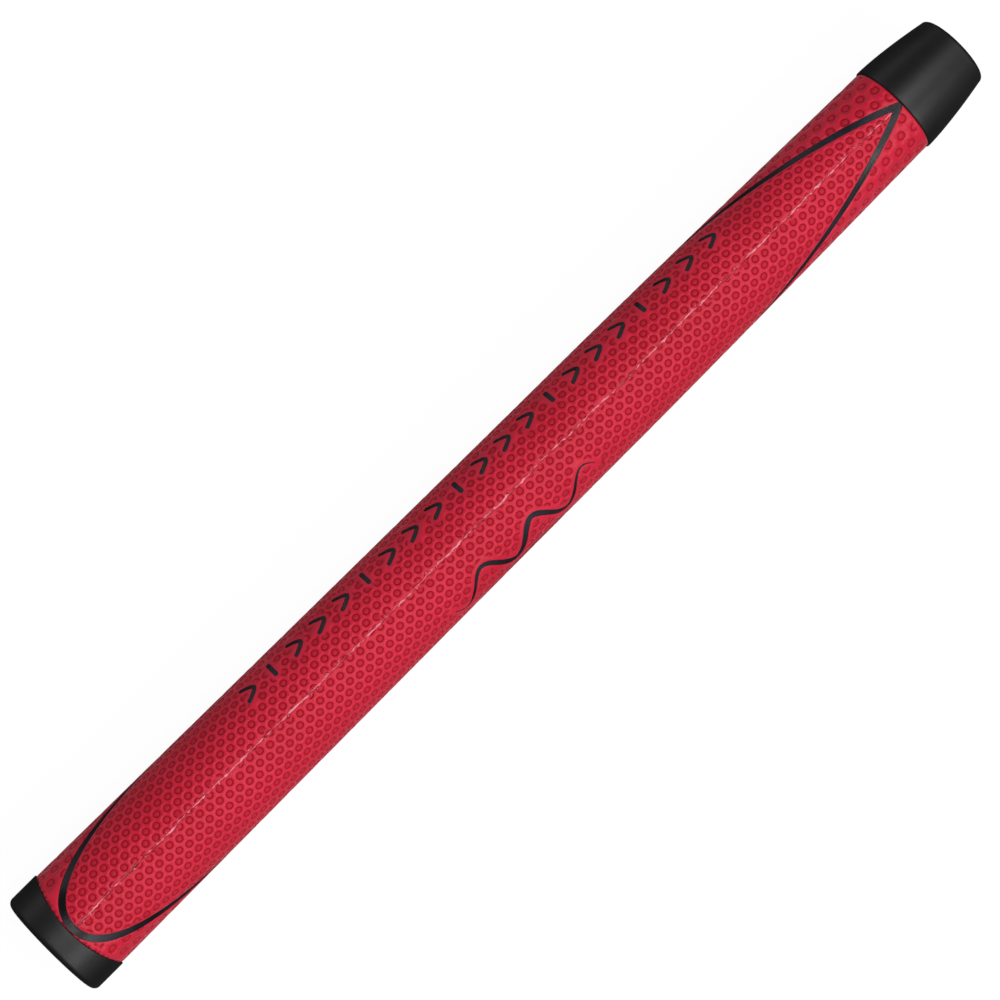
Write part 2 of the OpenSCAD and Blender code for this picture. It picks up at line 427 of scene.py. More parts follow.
def dent_far(z, sideways, dent, offset):
    """Squared distance from a dent's middle, with the grip's length counted shorter."""
    return ((z - dent) / DENT_STRETCH) ** 2 + (sideways - seam_at(dent) - offset) ** 2


MARK_RECESS = 0.16
HALO_DEPTH = 0.05
HALO_REACH = 0.4
ROLL_DEPTH = 0.1
ROLL_CHANGE = 0.05
ROLL_REACH = 0.26
CRIMP_HEIGHT = 0.05
CRIMP_REACH = 0.6
DENT_FADE = 3
RIM_BAND = 1.6
RIM_DIP = 0.10
RIM_REACH = 0.22
NICK_REACH = 0.42
COLLAR_DIP = 0.12
COLLAR_REACH = 0.3


def rest_height(z, across):
    """Height of the skin, without its rings: channels, halos, rolled edges, dents and nicks."""
    angle = angle_of(z, across)
    height = np.zeros(len(z))
    for line in (BUTT_LINE, MOUTH_LINE):
        deep = inside_line(z, angle, line) / CHANNEL_WALL
        height -= CHANNEL_DEPTH * np.clip(deep, 0, 1)
    within = inside_stroke(z, across)
    height -= MARK_RECESS * np.clip(within / CHANNEL_WALL, 0, 1)
    height -= HALO_DEPTH * np.exp(-(np.maximum(-within, 0) / HALO_REACH) ** 2) * (within <= 0)
    left, right = seam_sides(z)
    off = np.minimum(np.abs(across - left), np.abs(right - across))
    roll = ROLL_DEPTH + ROLL_CHANGE * seam_waver(z * 1.7)
    height -= roll * np.exp(-(off / ROLL_REACH) ** 2)
    height += CRIMP_HEIGHT * seam_nibble(z * 0.8) * np.exp(-(off / CRIMP_REACH) ** 2)
    sideways = signed(angle) * np.radians(1) * wrap_r(z)
    for dent, offset, size, depth in dents:
        near = np.abs(z - dent) < DENT_FADE * size
        if near.any():
            height[near] -= depth * np.exp(-dent_far(z[near], sideways[near], dent, offset) / size ** 2)
    to_cap = skirt_edge(angle) - z
    rim = to_cap < RIM_BAND
    if rim.any():
        dip = RIM_DIP * np.exp(-(to_cap[rim] / RIM_REACH) ** 2)
        for spot, size, depth in nicks:
            arc = signed(angle[rim] - spot) * np.radians(1) * BUTT_R
            dip += depth * np.exp(-(arc / size) ** 2 - (np.maximum(to_cap[rim], 0) / NICK_REACH) ** 2)
        height[rim] -= dip
    height -= COLLAR_DIP * np.exp(-((z - COLLAR_LEN) / COLLAR_REACH) ** 2)
    return height


def main_zone(z, angle):
    """True between the two painted lines, where the rings are small and close."""
    return (z > line_middle(angle, MOUTH_LINE)) & (z < line_middle(angle, BUTT_LINE))


PAINT_ROOM = 0.14
SEAM_ROOM = 0.17
COLLAR_ROOM = 0.75
SKIRT_ROOM = 1.25
DENT_ROOM = 1.35
STROKE_ROOM = 0.95
LEAST_POINTS = 7


def room(z, across, in_main):
    """True where a ring's point may lie: clear of paint, seam, cap and collar, in its own zone."""
    angle = angle_of(z, across)
    clear = main_zone(z, angle) == in_main
    for line in (BUTT_LINE, MOUTH_LINE):
        clear &= inside_line(z, angle, line) < -PAINT_ROOM
    left, right = seam_sides(z)
    clear &= (across > left + SEAM_ROOM) & (across < right - SEAM_ROOM)
    clear &= (z > COLLAR_LEN + COLLAR_ROOM) & (z < skirt_edge(angle) - SKIRT_ROOM)
    sideways = signed(angle) * np.radians(1) * wrap_r(z)
    for dent, offset, size, _ in dents:
        near = np.abs(z - dent) < DENT_FADE * size
        clear[near] &= dent_far(z[near], sideways[near], dent, offset) > (DENT_ROOM * size) ** 2
    clear[clear] &= inside_stroke(z[clear], across[clear]) < -STROKE_ROOM
    return clear


def lattice(pitch, in_main):
    """Middles of the rings of one zone, on a hexagonal lattice turned a little."""
    one, two = (np.array((math.cos(a), math.sin(a))) * pitch
                for a in (math.radians(LATTICE_TURN), math.radians(LATTICE_TURN + 60)))
    spread = int(LATTICE_REACH / pitch)
    i, j = np.meshgrid(np.arange(-spread, spread), np.arange(-spread, spread))
    spots = i.reshape(-1, 1) * one + j.reshape(-1, 1) * two + (LATTICE_MIDDLE, 0)
    z, across = spots[:, 0], spots[:, 1]
    keep = (z > COLLAR_LEN - 1) & (z < SKIRT_AT + CAP_ARCH + 1) & (np.abs(across) < math.pi * BUTT_R + 1)
    spots = spots[keep]
    z, across = spots[:, 0], spots[:, 1]
    left, right = seam_sides(z)
    near = (across > left - 0.5) & (across < right + 0.5)
    near &= main_zone(z, angle_of(z, across)) == in_main
    return spots[near]


# Each zone's rings: pitch, and its loops from the rim inwards as [radius, depth].
RING_ZONES = [
    (True, 2.45, [(1.03, 0), (0.79, 0.3), (0.48, 0.15)], 0.1),
    (False, 3.56, [(1.18, 0), (0.92, 0.3), (0.6, 0.13)], 0.08),
]

points, edges, preset = [], [], {}


def add_points(spots, closed=False, joined=True):
    """Adds a chain of points to the panel's plan, and the edges that join them."""
    first = len(points)
    points.extend((float(p[0]), float(p[1])) for p in spots)
    if joined:
        edges.extend((first + i, first + i + 1) for i in range(len(spots) - 1))
        if closed:
            edges.append((first + len(spots) - 1, first))
    return first


def panel_outline():
    """The panel's cut edge: up one side of the seam, along the cap, down and along the collar."""
    along = np.arange(CUT_AT, SKIRT_AT + 1, SEAM_PITCH)
    left_top = float(skirt_edge(0))
    along = np.append(along, left_top - 0.02)
    left, right = seam_sides(along)
    up = np.column_stack((along, left))
    down = np.column_stack((along, right))[::-1]
    turns = np.linspace(0, 360, 251)[1:-1]
    z = skirt_edge(turns)
    over = np.column_stack((z, np.radians(turns - 180) * wrap_r(z)))
    over = over[(over[:, 1] > left[-1] + 0.1) & (over[:, 1] < right[-1] - 0.1)]
    turns = np.linspace(360, 0, 111)[1:-1]
    z = np.full(len(turns), CUT_AT)
    under = np.column_stack((z, np.radians(turns - 180) * wrap_r(z)))
    under = under[(under[:, 1] > left[0] + 0.2) & (under[:, 1] < right[0] - 0.2)]
    return up, over, down, under


left_edge, top_edge, right_edge, low_edge = panel_outline()
add_points(np.vstack((left_edge, top_edge, right_edge, low_edge)), closed=True)


def on_panel(z, across):
    """True where a point of the plan is inside the panel's cut edge."""
    top = np.vstack((left_edge[-1:], top_edge, right_edge[:1]))
    inside = (z > CUT_AT) & (z < np.interp(across, top[:, 1], top[:, 0]))
    inside &= across > np.interp(z, left_edge[:, 0], left_edge[:, 1])
    return inside & (across < np.interp(z, right_edge[::-1, 0], right_edge[::-1, 1]))


def inner_faces(z, across, faces):
    """The faces of a plan that lie inside the panel's cut edge."""
    middles = np.array([(sum(z[i] for i in f) / len(f), sum(across[i] for i in f) / len(f)) for f in faces])
    return [f for f, inside in zip(faces, on_panel(middles[:, 0], middles[:, 1])) if inside]


# Rows that follow the rolled edges at the cap, the collar and both sides of the seam.
for inset in (0.22, 0.5, 0.85):
    turns = np.linspace(1.6, 358.4, 246)
    z = skirt_edge(turns) - inset
    add_points(np.column_stack((z, np.radians(turns - 180) * wrap_r(z))), joined=False)
for inset in (0.2, 0.45):
    turns = np.linspace(2, 358, 108)
    z = np.full(len(turns), CUT_AT + inset)
    add_points(np.column_stack((z, np.radians(turns - 180) * wrap_r(z))), joined=False)
along = np.arange(COLLAR_LEN + 0.7, SKIRT_AT + 1, SEAM_PITCH)
for inset in (0.16, 0.4):
    left, right = seam_sides(along)
    add_points(np.column_stack((along, left + inset)), joined=False)
    add_points(np.column_stack((along, right - inset)), joined=False)

# The channels for the two painted lines: their edges, and the foot of each wall.
for line in (BUTT_LINE, MOUTH_LINE):
    turns = np.arange(-3.5, 364, 1.5)
    middle, stretch = line_middle(turns, line), line_stretch(turns, line)
    for half in (LINE_W / 2, LINE_W / 2 - CHANNEL_WALL, CHANNEL_WALL - LINE_W / 2, -LINE_W / 2):
        z = middle + half * stretch
        row = np.column_stack((z, np.radians(turns - 180) * wrap_r(z)))
        add_points(row)

# The recesses for the marks and the emblem, and the soft halo pressed round each.
for shape in all_strokes:
    for grow in (-CHANNEL_WALL, 0, 0.22, 0.5):
        add_points(outline(shape, grow), closed=True)

# The dents: three small loops of points round each middle, kept off the panel's cut edge.
for dent, offset, size, _ in dents:
    for share in (0.25, 0.7, 1.2):
        a = np.arange(8) * math.pi / 4
        at = dent + DENT_STRETCH * size * share * np.cos(a)
        turn = (seam_at(dent) + offset + size * share * np.sin(a)) / wrap_r(at)
        spots = np.column_stack((at, (turn + np.where(turn < 0, math.pi, -math.pi)) * wrap_r(at)))
        left, right = seam_sides(at)
        add_points(spots[(spots[:, 1] > left + 0.1) & (spots[:, 1] < right - 0.1)], joined=False)

# The rings. A whole ring is made of its own faces; a ring that is cut off by paint or by
# an edge keeps the part of it that there is room for.
whole_rings = []
for in_main, pitch, loops, centre_depth in RING_ZONES:
    corners = np.arange(RING_SIDES) * 2 * math.pi / RING_SIDES
    circle = np.column_stack((np.cos(corners), np.sin(corners)))
    spots = lattice(pitch, in_main)
    sizes = [radius for radius, _ in loops]
    laid = spots[:, None, None, :] + np.array(sizes)[None, :, None, None] * circle[None, None, :, :]
    flat = laid.reshape(-1, 2)
    free = room(flat[:, 0], flat[:, 1], in_main).reshape(laid.shape[:3])
    for ring, ok in zip(laid, free):
        if ok.all():
            first = add_points(ring[0], closed=True)
            whole_rings.append((first, ring, loops, centre_depth))
            continue
        if ok.sum() < LEAST_POINTS:
            continue
        for (radius, depth), loop, fits in zip(loops, ring, ok):
            where = {}
            for k in np.nonzero(fits)[0]:
                where[k] = add_points([loop[k]], joined=False)
                preset[where[k]] = depth
            for k in where:
                if (k + 1) % RING_SIDES in where:
                    edges.append((where[k], where[(k + 1) % RING_SIDES]))

flat_points, _, flat_faces, origins, _, _ = delaunay_2d_cdt(
    [Vector(p) for p in points], edges, [], 1, 1e-6, True)

z = np.array([p[0] for p in flat_points])
across = np.array([p[1] for p in flat_points])
flat_faces = inner_faces(z, across, flat_faces)
height = rest_height(z, across)
# Painted shade: how far each point lies below the skin, as a share, is kept to darken its colour, as shade
# in the rings, channels, halos, dents and nicks.
groove_shade = np.clip(-height / GROOVE_FULL, 0, 1)
owner = {}
for i, origin in enumerate(origins):
    for source in origin:
        owner[source] = i
        if source in preset:
            height[i] -= preset[source]
            groove_shade[i] = max(groove_shade[i], preset[source] / GROOVE_FULL)

# The panel's edge, found before the rings' middles are taken out of the plan.
going = {}
for face in flat_faces:
    for a, b in zip(face, face[1:] + face[:1]):
        going[(a, b)] = True
after = {a: b for a, b in going if (b, a) not in going}
rim = [next(iter(after))]
while after[rim[-1]] != rim[0]:
    rim.append(after[rim[-1]])

ring_tree = KDTree(len(whole_rings))
for number, (_, ring, _, _) in enumerate(whole_rings):
    ring_tree.insert((*ring[0].mean(axis=0), 0), number)
ring_tree.balance()


def in_ring(face):
    """True where a face of the plan lies inside a whole ring."""
    at = Vector((sum(z[i] for i in face) / len(face), sum(across[i] for i in face) / len(face), 0))
    middle, number, far = ring_tree.find(at)
    radius = whole_rings[number][2][0][0]
    step = math.pi / RING_SIDES
    turn = math.atan2(at.y - middle.y, at.x - middle.x) % (2 * step) - step
    return far * math.cos(turn) < radius * math.cos(step)


faces = [f for f in flat_faces if not in_ring(f)]

# The sunk loops and hubs of the whole rings carry their depth as painted shade as well.
more_points, more_groove_shade = [], []
depth_draw = random.Random(31)
for first, ring, loops, centre_depth in whole_rings:
    press = depth_draw.uniform(0.88, 1.1)
    outer = [owner[first + k] for k in range(RING_SIDES)]
    middle = ring[0].mean(axis=0)
    for (radius, depth), loop in list(zip(loops, ring))[1:]:
        start = len(z) + len(more_points)
        more_points.extend((p[0], p[1], -depth * press) for p in loop)
        more_groove_shade.extend([depth / GROOVE_FULL] * RING_SIDES)
        inner = [start + k for k in range(RING_SIDES)]
        for k in range(RING_SIDES):
            n = (k + 1) % RING_SIDES
            faces.append([outer[k], outer[n], inner[n], inner[k]])
        outer = inner
    hub = len(z) + len(more_points)
    more_points.append((middle[0], middle[1], -centre_depth * press))
    more_groove_shade.append(centre_depth / GROOVE_FULL)
    faces.extend([outer[k], outer[(k + 1) % RING_SIDES], hub] for k in range(RING_SIDES))

more = np.array(more_points)
extra = rest_height(more[:, 0], more[:, 1])
z = np.concatenate((z, more[:, 0]))
across = np.concatenate((across, more[:, 1]))
height = np.concatenate((height, more[:, 2] + extra))
groove_shade = np.concatenate((groove_shade, np.maximum(more_groove_shade, np.clip(-extra / GROOVE_FULL, 0, 1))))
top = at_angle(z, angle_of(z, across), height)

# The back of the panel, on a coarser plan, joined to the face by the cut edge.
BACK_INSET = 0.8
BACK_ALONG = 2.5
BACK_ACROSS = 2.2
BACK_HALF = 40
rim_flat = [(float(z[i]), float(across[i])) for i in rim]
grid = [(gz, ga) for gz in np.arange(COLLAR_LEN + 1.5, SKIRT_AT + 1, BACK_ALONG)
        for ga in np.arange(-BACK_HALF, BACK_HALF, BACK_ACROSS)]
gz, ga = np.array(grid).T
left, right = seam_sides(gz)
keep = (ga > left + BACK_INSET) & (ga < right - BACK_INSET)
keep &= gz < skirt_edge(angle_of(gz, ga)) - BACK_INSET
back_flat = rim_flat + [(float(a), float(b)) for a, b in zip(gz[keep], ga[keep])]
back_edges = [(i, (i + 1) % len(rim)) for i in range(len(rim))]
got, _, back_faces, back_origin, _, _ = delaunay_2d_cdt(
    [Vector(p) for p in back_flat], back_edges, [], 1, 1e-7, True)
back_z = np.array([p[0] for p in got])
back_across = np.array([p[1] for p in got])
back = at_angle(back_z, angle_of(back_z, back_across), np.full(len(got), -SKIN_T))
back_of = {source: i for i, origin in enumerate(back_origin) for source in origin}
base = len(top)
faces += [[base + i for i in reversed(f)] for f in inner_faces(back_z, back_across, back_faces)]
for i in range(len(rim)):
    n = (i + 1) % len(rim)
    faces.append([rim[n], rim[i], base + back_of[i], base + back_of[n]])


def solid(name, corners, faces, finish, cad_node):
    """A closed piece from its corners and faces: smooth, facing outwards, and in its place."""
    mesh = bpy.data.meshes.new(name)
    mesh.from_pydata([tuple(c) for c in corners], [], faces)
    mesh.validate()
    shaped = bmesh.new()
    shaped.from_mesh(mesh)
    bmesh.ops.recalc_face_normals(shaped, faces=shaped.faces)
    shaped.to_mesh(mesh)
    shaped.free()
    mesh.polygons.foreach_set("use_smooth", [True] * len(mesh.polygons))
    mesh.materials.append(finish)
    piece = bpy.data.objects.new(name, mesh)
    bpy.context.scene.collection.objects.link(piece)
    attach(piece, "root")
    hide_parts(cad_node)
    return piece


# The darkest red below is painted shade: the colour the skin turns to in its hollows.
SKIN_HOLLOW_SHADE = (0.31, 0.0003, 0.010, 1)
SKIN_RED = (0.54, 0.007, 0.031, 1)
SKIN_LIGHT = (0.60, 0.012, 0.042, 1)
GROOVE_ROUGH = 0.95

red_skin = finish_with("red_skin", SKIN_RED, SKIN_LIGHT, 0.40, 0.52, 5200, 55, 0.00006)
nodes, links = red_skin.node_tree.nodes, red_skin.node_tree.links
shader = nodes["Principled BSDF"]
# Painted shade: the skin's colour darkens to deep crimson by the stored depth share of each point, so the
# hollows read shaded; the roughness rises there too, which is real.
pressed = nodes.new("ShaderNodeAttribute")
pressed.attribute_name = "groove_shade"
plain = shader.inputs["Base Color"].links[0].from_socket
amount = map_range(nodes, links, pressed.outputs["Fac"], 0.22, 1.25, 0, 1)
links.new(mix_colour(nodes, links, amount, plain, SKIN_HOLLOW_SHADE), shader.inputs["Base Color"])
matt = nodes.new("ShaderNodeMix")
links.new(amount, matt.inputs[0])
links.new(shader.inputs["Roughness"].links[0].from_socket, matt.inputs[2])
matt.inputs[3].default_value = GROOVE_ROUGH
links.new(matt.outputs[0], shader.inputs["Roughness"])
shader.inputs["Sheen Weight"].default_value = 0.45
shader.inputs["Sheen Roughness"].default_value = 0.4
shader.inputs["Sheen Tint"].default_value = (1.0, 0.46, 0.50, 1)
shader.inputs["IOR"].default_value = 1.33

used = sorted({i for f in faces for i in f})
place_of = {i: k for k, i in enumerate(used)}
faces = [[place_of[i] for i in f] for f in faces]
skin = solid("skin_panel", np.vstack((top, back))[used], faces, red_skin, "pu_skin")
# Each point's painted-shade share is stored on the skin for its material.
layer = skin.data.attributes.new("groove_shade", "FLOAT", "POINT")
layer.data.foreach_set("value", np.concatenate((groove_shade, np.zeros(len(back))))[used].astype(np.float32))

# ---------------------------------------------------------------------------------------
# Seam bead: the clear glue that squeezes up between the panel's edges when they are
# pressed together. It dries as a thin, broken, glossy thread of uneven width.

GLUE_DEEP = (0.58, 0.05, 0.09, 1)
GLUE_PALE = (0.80, 0.27, 0.33, 1)
BEAD_STEP = 0.2
BEAD_SUNK = -0.34
BEAD_FOOT = 0.1 - SKIN_T
FLECK_SIDES = 8

bead_width = slow_noise(41, 0.7)
bead_level = slow_noise(42, 0.9)
bead_break = slow_noise(43, 3.7)


def build_seam_bead():
    """A closed strip that follows the seam, from the collar to the cap's skirt."""
    along = np.arange(COLLAR_LEN + 0.1, float(skirt_edge(0)) - 0.05, BEAD_STEP)
    shown = np.clip(0.52 + 0.75 * bead_width(along) + 0.5 * bead_break(along), 0, 1.3)
    half = 0.05 + 0.14 * shown
    crest = -0.17 + 0.17 * shown + 0.03 * bead_level(along)
    inside = (along > MOUTH_LINE["start"] + 1.6) & (along < BUTT_LINE["start"] - 0.9)
    crest = np.where(inside, crest, BEAD_SUNK)
    corners = []
    for part, fall in ((-1, 0.10), (-0.55, 0.02), (0, 0), (0.55, 0.02), (1, 0.10), (1, None), (-1, None)):
        r = wrap_r(along)
        across = seam_at(along) + part * half
        level = np.full(len(along), BEAD_FOOT) if fall is None else crest - fall
        corners.append(at_angle(along, np.degrees(across / r), level))
    rows = len(corners)
    corners = np.stack(corners, axis=1).reshape(-1, 3)
    faces = []
    for i in range(len(along) - 1):
        for k in range(rows):
            n = (k + 1) % rows
            faces.append([i * rows + k, i * rows + n, (i + 1) * rows + n, (i + 1) * rows + k])
    faces.append(list(range(rows)))
    faces.append([(len(along) - 1) * rows + k for k in reversed(range(rows))])
    return [tuple(c) for c in corners], faces


def add_fleck(corners, faces, z, across, length, width, turn):
    """A small flat drop of glue on the skin beside the seam."""
    first = len(corners)
    sides = FLECK_SIDES
    for size, level in ((1, -0.12), (1, 0.0), (0.55, 0.045)):
        for k in range(sides):
            a = 2 * math.pi * k / sides
            u, v = size * length * math.cos(a), size * width * math.sin(a)
            at = np.array([z + u * math.cos(turn) - v * math.sin(turn)])
            off = across + u * math.sin(turn) + v * math.cos(turn)
            spot = at_angle(at, math.degrees(off / wrap_r(at)[0]), level)
            corners.append(tuple(spot[0]))
    for ring in (0, 1):
        for k in range(sides):
            n = (k + 1) % sides
            a, b = first + ring * sides, first + (ring + 1) * sides
            faces.append([a + k, a + n, b + n, b + k])
    faces.append([first + k for k in reversed(range(sides))])
    faces.append([first + 2 * sides + k for k in range(sides)])


seam_glue = finish_with("seam_glue", GLUE_DEEP, GLUE_PALE, 0.32, 0.5, 2600, 700, 0.0001)
corners, faces = build_seam_bead()
fleck_draw = random.Random(44)
fleck_z = MOUTH_LINE["start"] + 4
while fleck_z < BUTT_LINE["start"] - 2:
    off = float(seam_at(fleck_z)) + fleck_draw.choice((-1, 1)) * fleck_draw.uniform(0.18, 0.5)
    size = fleck_draw.uniform(0.08, 0.32)
    width = size * fleck_draw.uniform(0.2, 0.45)
    add_fleck(corners, faces, fleck_z, off, size, width, fleck_draw.uniform(-0.9, 0.9))
    fleck_z += fleck_draw.uniform(0.4, 2.8)
solid("seam_bead_thread", corners, faces, seam_glue, "seam_bead")

# ---------------------------------------------------------------------------------------
# Painted lines: black polyurethane ink laid in the two channels after wrapping. It dries
# a little below the skin, slightly raised along its edges, with a faint satin shine.

INK_DARK = (0.003, 0.003, 0.004, 1)
INK_SHEEN_BLUE = (0.012, 0.012, 0.021, 1)
INK_EDGE = -0.055
INK_MIDDLE = -0.085
INK_UNDER = -0.26
INK_INSET = 0.03
TIP_REACH = 8

# The ink's colour is mottled with lighter blue-grey patches, a painted sheen; its varied roughness gives the
# real satin shine.
black_paint = finish_with("black_paint", INK_DARK, INK_SHEEN_BLUE, 0.26, 0.55, 1500, 110, 0.0001)
black_paint.node_tree.nodes["Principled BSDF"].inputs["IOR"].default_value = 1.38


def build_line(line, seed):
    """A line as a closed band round the grip, cut off where the collar or the cap covers it."""
    waver = slow_noise(seed, 9, 400)
    turns = np.concatenate((np.arange(-180, -12, 1.5), np.arange(-12, 12, 0.5), np.arange(12, 180, 1.5)))
    middle, stretch = line_middle(turns, line), line_stretch(turns, line)
    half = LINE_W / 2 - INK_INSET
    rows = []
    for part, level in ((-1, INK_EDGE), (-0.85, INK_MIDDLE), (-0.6, INK_MIDDLE), (-0.3, INK_MIDDLE),
                        (0, INK_MIDDLE), (0.3, INK_MIDDLE), (0.6, INK_MIDDLE), (0.85, INK_MIDDLE),
                        (1, INK_EDGE), (1, INK_UNDER), (-1, INK_UNDER)):
        z = np.clip(middle + part * half * stretch, COLLAR_LEN + 0.06, skirt_edge(turns) - 0.04)
        tip = np.exp(-(turns / TIP_REACH) ** 2)
        fold = np.sin(3.3 * z + 1.1 * turns) * np.sin(1.7 * turns - 2.2 * z + 1)
        rough = 0.02 * waver(turns + 180) + tip * line["crumple"] * fold
        rows.append(at_angle(z, turns, level + (rough if level > INK_UNDER else 0)))
    count = len(rows)
    corners = np.stack(rows, axis=1).reshape(-1, 3)
    faces = []
    for i in range(len(turns)):
        j = (i + 1) % len(turns)
        for k in range(count):
            n = (k + 1) % count
            faces.append([i * count + k, i * count + n, j * count + n, j * count + k])
    return corners, faces


for name, line, seed in (("butt_line", BUTT_LINE, 51), ("mouth_line", MOUTH_LINE, 52)):
    corners, faces = build_line(line, seed)
    solid(name + "_ink", corners, faces, black_paint, name)

# ---------------------------------------------------------------------------------------
# Side marks and side emblem: a row of plain chevrons and bars, and a wave with a rule.
# They are the same black ink, filled into small recesses pressed in the skin.

STROKE_INSET = 0.02
STROKE_LEAST = 0.008
STROKE_UNDER = INK_UNDER + 0.04


def build_strokes(shapes):
    """Strokes of ink, each a closed strip with rounded ends."""
    corners, faces = [], []
    for shape in shapes:
        first = len(corners)
        middle, side = shape["middle"], shape["side"]
        half = np.maximum(shape["half"] - STROKE_INSET, STROKE_LEAST)[:, None]
        rows = []
        for part, level in ((-1, INK_EDGE), (-0.75, INK_MIDDLE), (0, INK_MIDDLE), (0.75, INK_MIDDLE),
                            (1, INK_EDGE), (1, STROKE_UNDER), (-1, STROKE_UNDER)):
            spot = middle + side * half * part
            rows.append(at_angle(spot[:, 0], angle_of(spot[:, 0], spot[:, 1]), level))
        count = len(rows)
        corners.extend(np.stack(rows, axis=1).reshape(-1, 3))
        for i in range(len(middle) - 1):
            for k in range(count):
                n = (k + 1) % count
                a, b = first + i * count, first + (i + 1) * count
                faces.append([a + k, a + n, b + n, b + k])
        last = first + (len(middle) - 1) * count
        faces.append([first + k for k in range(count)])
        faces.append([last + k for k in reversed(range(count))])
    return corners, faces


for name, shapes in (("side_marks", marks), ("side_emblem", emblem)):
    corners, faces = build_strokes(shapes)
    solid(name + "_ink", corners, faces, black_paint, name)

# ---------------------------------------------------------------------------------------
# Butt cap: a black rubber cap moulded on the end of the core. Its skirt stands a little
# proud of the wrap, is shorter in the middle than at the sides, and its vent lets air out.

BUTT_END = 267
CORE_END = 262
CORE_SEAT_R = 10.79
VENT_R = 1.5
CORNER_R = 1.4
CROWN = 0.3
SKIRT_LIP = 0.18
VENT_EDGE = 0.35
LATHE_SIDES = 144
RUBBER_DARK = (0.004, 0.004, 0.0041, 1)
RUBBER_LIGHT = (0.006, 0.006, 0.0063, 1)

cap_rubber = finish_with("cap_rubber", RUBBER_DARK, RUBBER_LIGHT, 0.41, 0.49, 6500, 60, 0.00003)
cap_rubber.node_tree.nodes["Principled BSDF"].inputs["IOR"].default_value = 1.42


def lathe(profile, front=None):
    """A closed ring turned from a profile of [radius, distance from the mouth, arch share]."""
    corners, faces = [], []
    turns = np.linspace(0, 360, LATHE_SIDES, endpoint=False)
    lift = np.zeros(len(turns)) if front is None else front(turns)
    for turn, rise in zip(turns, lift):
        for r, z, share in profile:
            a = math.radians(turn)
            corners.append((-(z + rise * share) / 1000, r * math.sin(a) / 1000, r * math.cos(a) / 1000))
    count = len(profile)
    for i in range(LATHE_SIDES):
        j = (i + 1) % LATHE_SIDES
        for k in range(count):
            n = (k + 1) % count
            faces.append([i * count + k, i * count + n, j * count + n, j * count + k])
    return corners, faces


def cap_profile():
    """The cap's outline: skirt, side, rounded corner, crowned end, vent and seat on the core."""
    face_r = CAP_R - CORNER_R
    profile = [(CORE_SEAT_R, SKIRT_AT, 1), (BUTT_R - 0.3, SKIRT_AT, 1), (BUTT_R + 0.05, SKIRT_AT, 1)]
    for turn in (25, 50, 75, 90):
        a = math.radians(turn)
        profile.append((CAP_R - SKIRT_LIP * (1 - math.sin(a)), SKIRT_AT + SKIRT_LIP * (1 - math.cos(a)), 1))
    for part in (0.25, 0.5, 0.75, 1):
        z = SKIRT_AT + SKIRT_LIP + (BUTT_END - CROWN - CORNER_R - SKIRT_AT - SKIRT_LIP) * part
        profile.append((CAP_R, z, 1 - part))
    for turn in (11, 23, 34, 45, 56, 67, 79, 90):
        a = math.radians(turn)
        profile.append((face_r + CORNER_R * math.cos(a), BUTT_END - CROWN - CORNER_R * (1 - math.sin(a)), 0))
    for part in (0.85, 0.65, 0.45, 0.28):
        profile.append((face_r * part, BUTT_END - CROWN * part ** 2, 0))
    for turn in (90, 60, 30, 0):
        a = math.radians(turn)
        profile.append((VENT_R + VENT_EDGE * (1 - math.cos(a)), BUTT_END - VENT_EDGE * (1 - math.sin(a)), 0))
    profile.append((VENT_R, CORE_END + 0.3, 0))
    profile.append((VENT_R, CORE_END, 0))
    profile.append((VENT_R + 0.3, CORE_END, 0))
    profile.append((CORE_SEAT_R - 0.2, CORE_END, 0))
    profile.append((CORE_SEAT_R, CORE_END, 0))
    return profile


corners, faces = lathe(cap_profile(), lambda turns: skirt_edge(turns) - SKIRT_AT)
solid("butt_cap_rubber", corners, faces, cap_rubber, "butt_cap")

# ---------------------------------------------------------------------------------------
# Mouth collar: a black rubber sleeve that covers the front end of the wrap. It narrows in
# a soft curve to the mouth, where its lip is rounded and opened a little for the shaft.

RIM_R = 10.77
LIP_R = 8.72
BORE_R = 7.37
COLLAR_FLANK = 1.55
COLLAR_EDGE_R = 0.9
COLLAR_RIM_R = 0.3
NOSE_AT = COLLAR_LEN - 10
NOSE_R = 8.77


def collar_profile():
    """The collar's outline: lip, tapered flank, rim, and the steps that seat it on the core."""
    profile = [(BORE_R + 0.35, 0, 0)]
    for turn in (0, 15, 30, 45, 60, 75, 90):
        a = math.radians(turn)
        profile.append((LIP_R - COLLAR_EDGE_R * (1 - math.sin(a)), COLLAR_EDGE_R * (1 - math.cos(a)), 0))
    run = COLLAR_LEN - COLLAR_RIM_R - COLLAR_EDGE_R
    for i in range(1, 15):
        u = i / 14
        profile.append((RIM_R - (RIM_R - LIP_R) * (1 - u) ** COLLAR_FLANK, COLLAR_EDGE_R + run * u, 0))
    for turn in (25, 50, 75, 90):
        a = math.radians(turn)
        r = RIM_R - COLLAR_RIM_R * (1 - math.cos(a))
        profile.append((r, COLLAR_LEN - COLLAR_RIM_R * (1 - math.sin(a)), 0))
    profile.append((MOUTH_R - 0.2, COLLAR_LEN, 0))
    profile.append((NOSE_R, COLLAR_LEN, 0))
    profile.append((NOSE_R, COLLAR_LEN - 0.3, 0))
    profile.append((NOSE_R, NOSE_AT + 0.3, 0))
    profile.append((NOSE_R, NOSE_AT, 0))
    profile.append((BORE_R, NOSE_AT, 0))
    profile.append((BORE_R, NOSE_AT - 0.3, 0))
    profile.append((BORE_R, 0.6, 0))
    profile.append((BORE_R + 0.1, 0.22, 0))
    return profile


corners, faces = lathe(collar_profile())
solid("mouth_collar_rubber", corners, faces, cap_rubber, "mouth_collar")

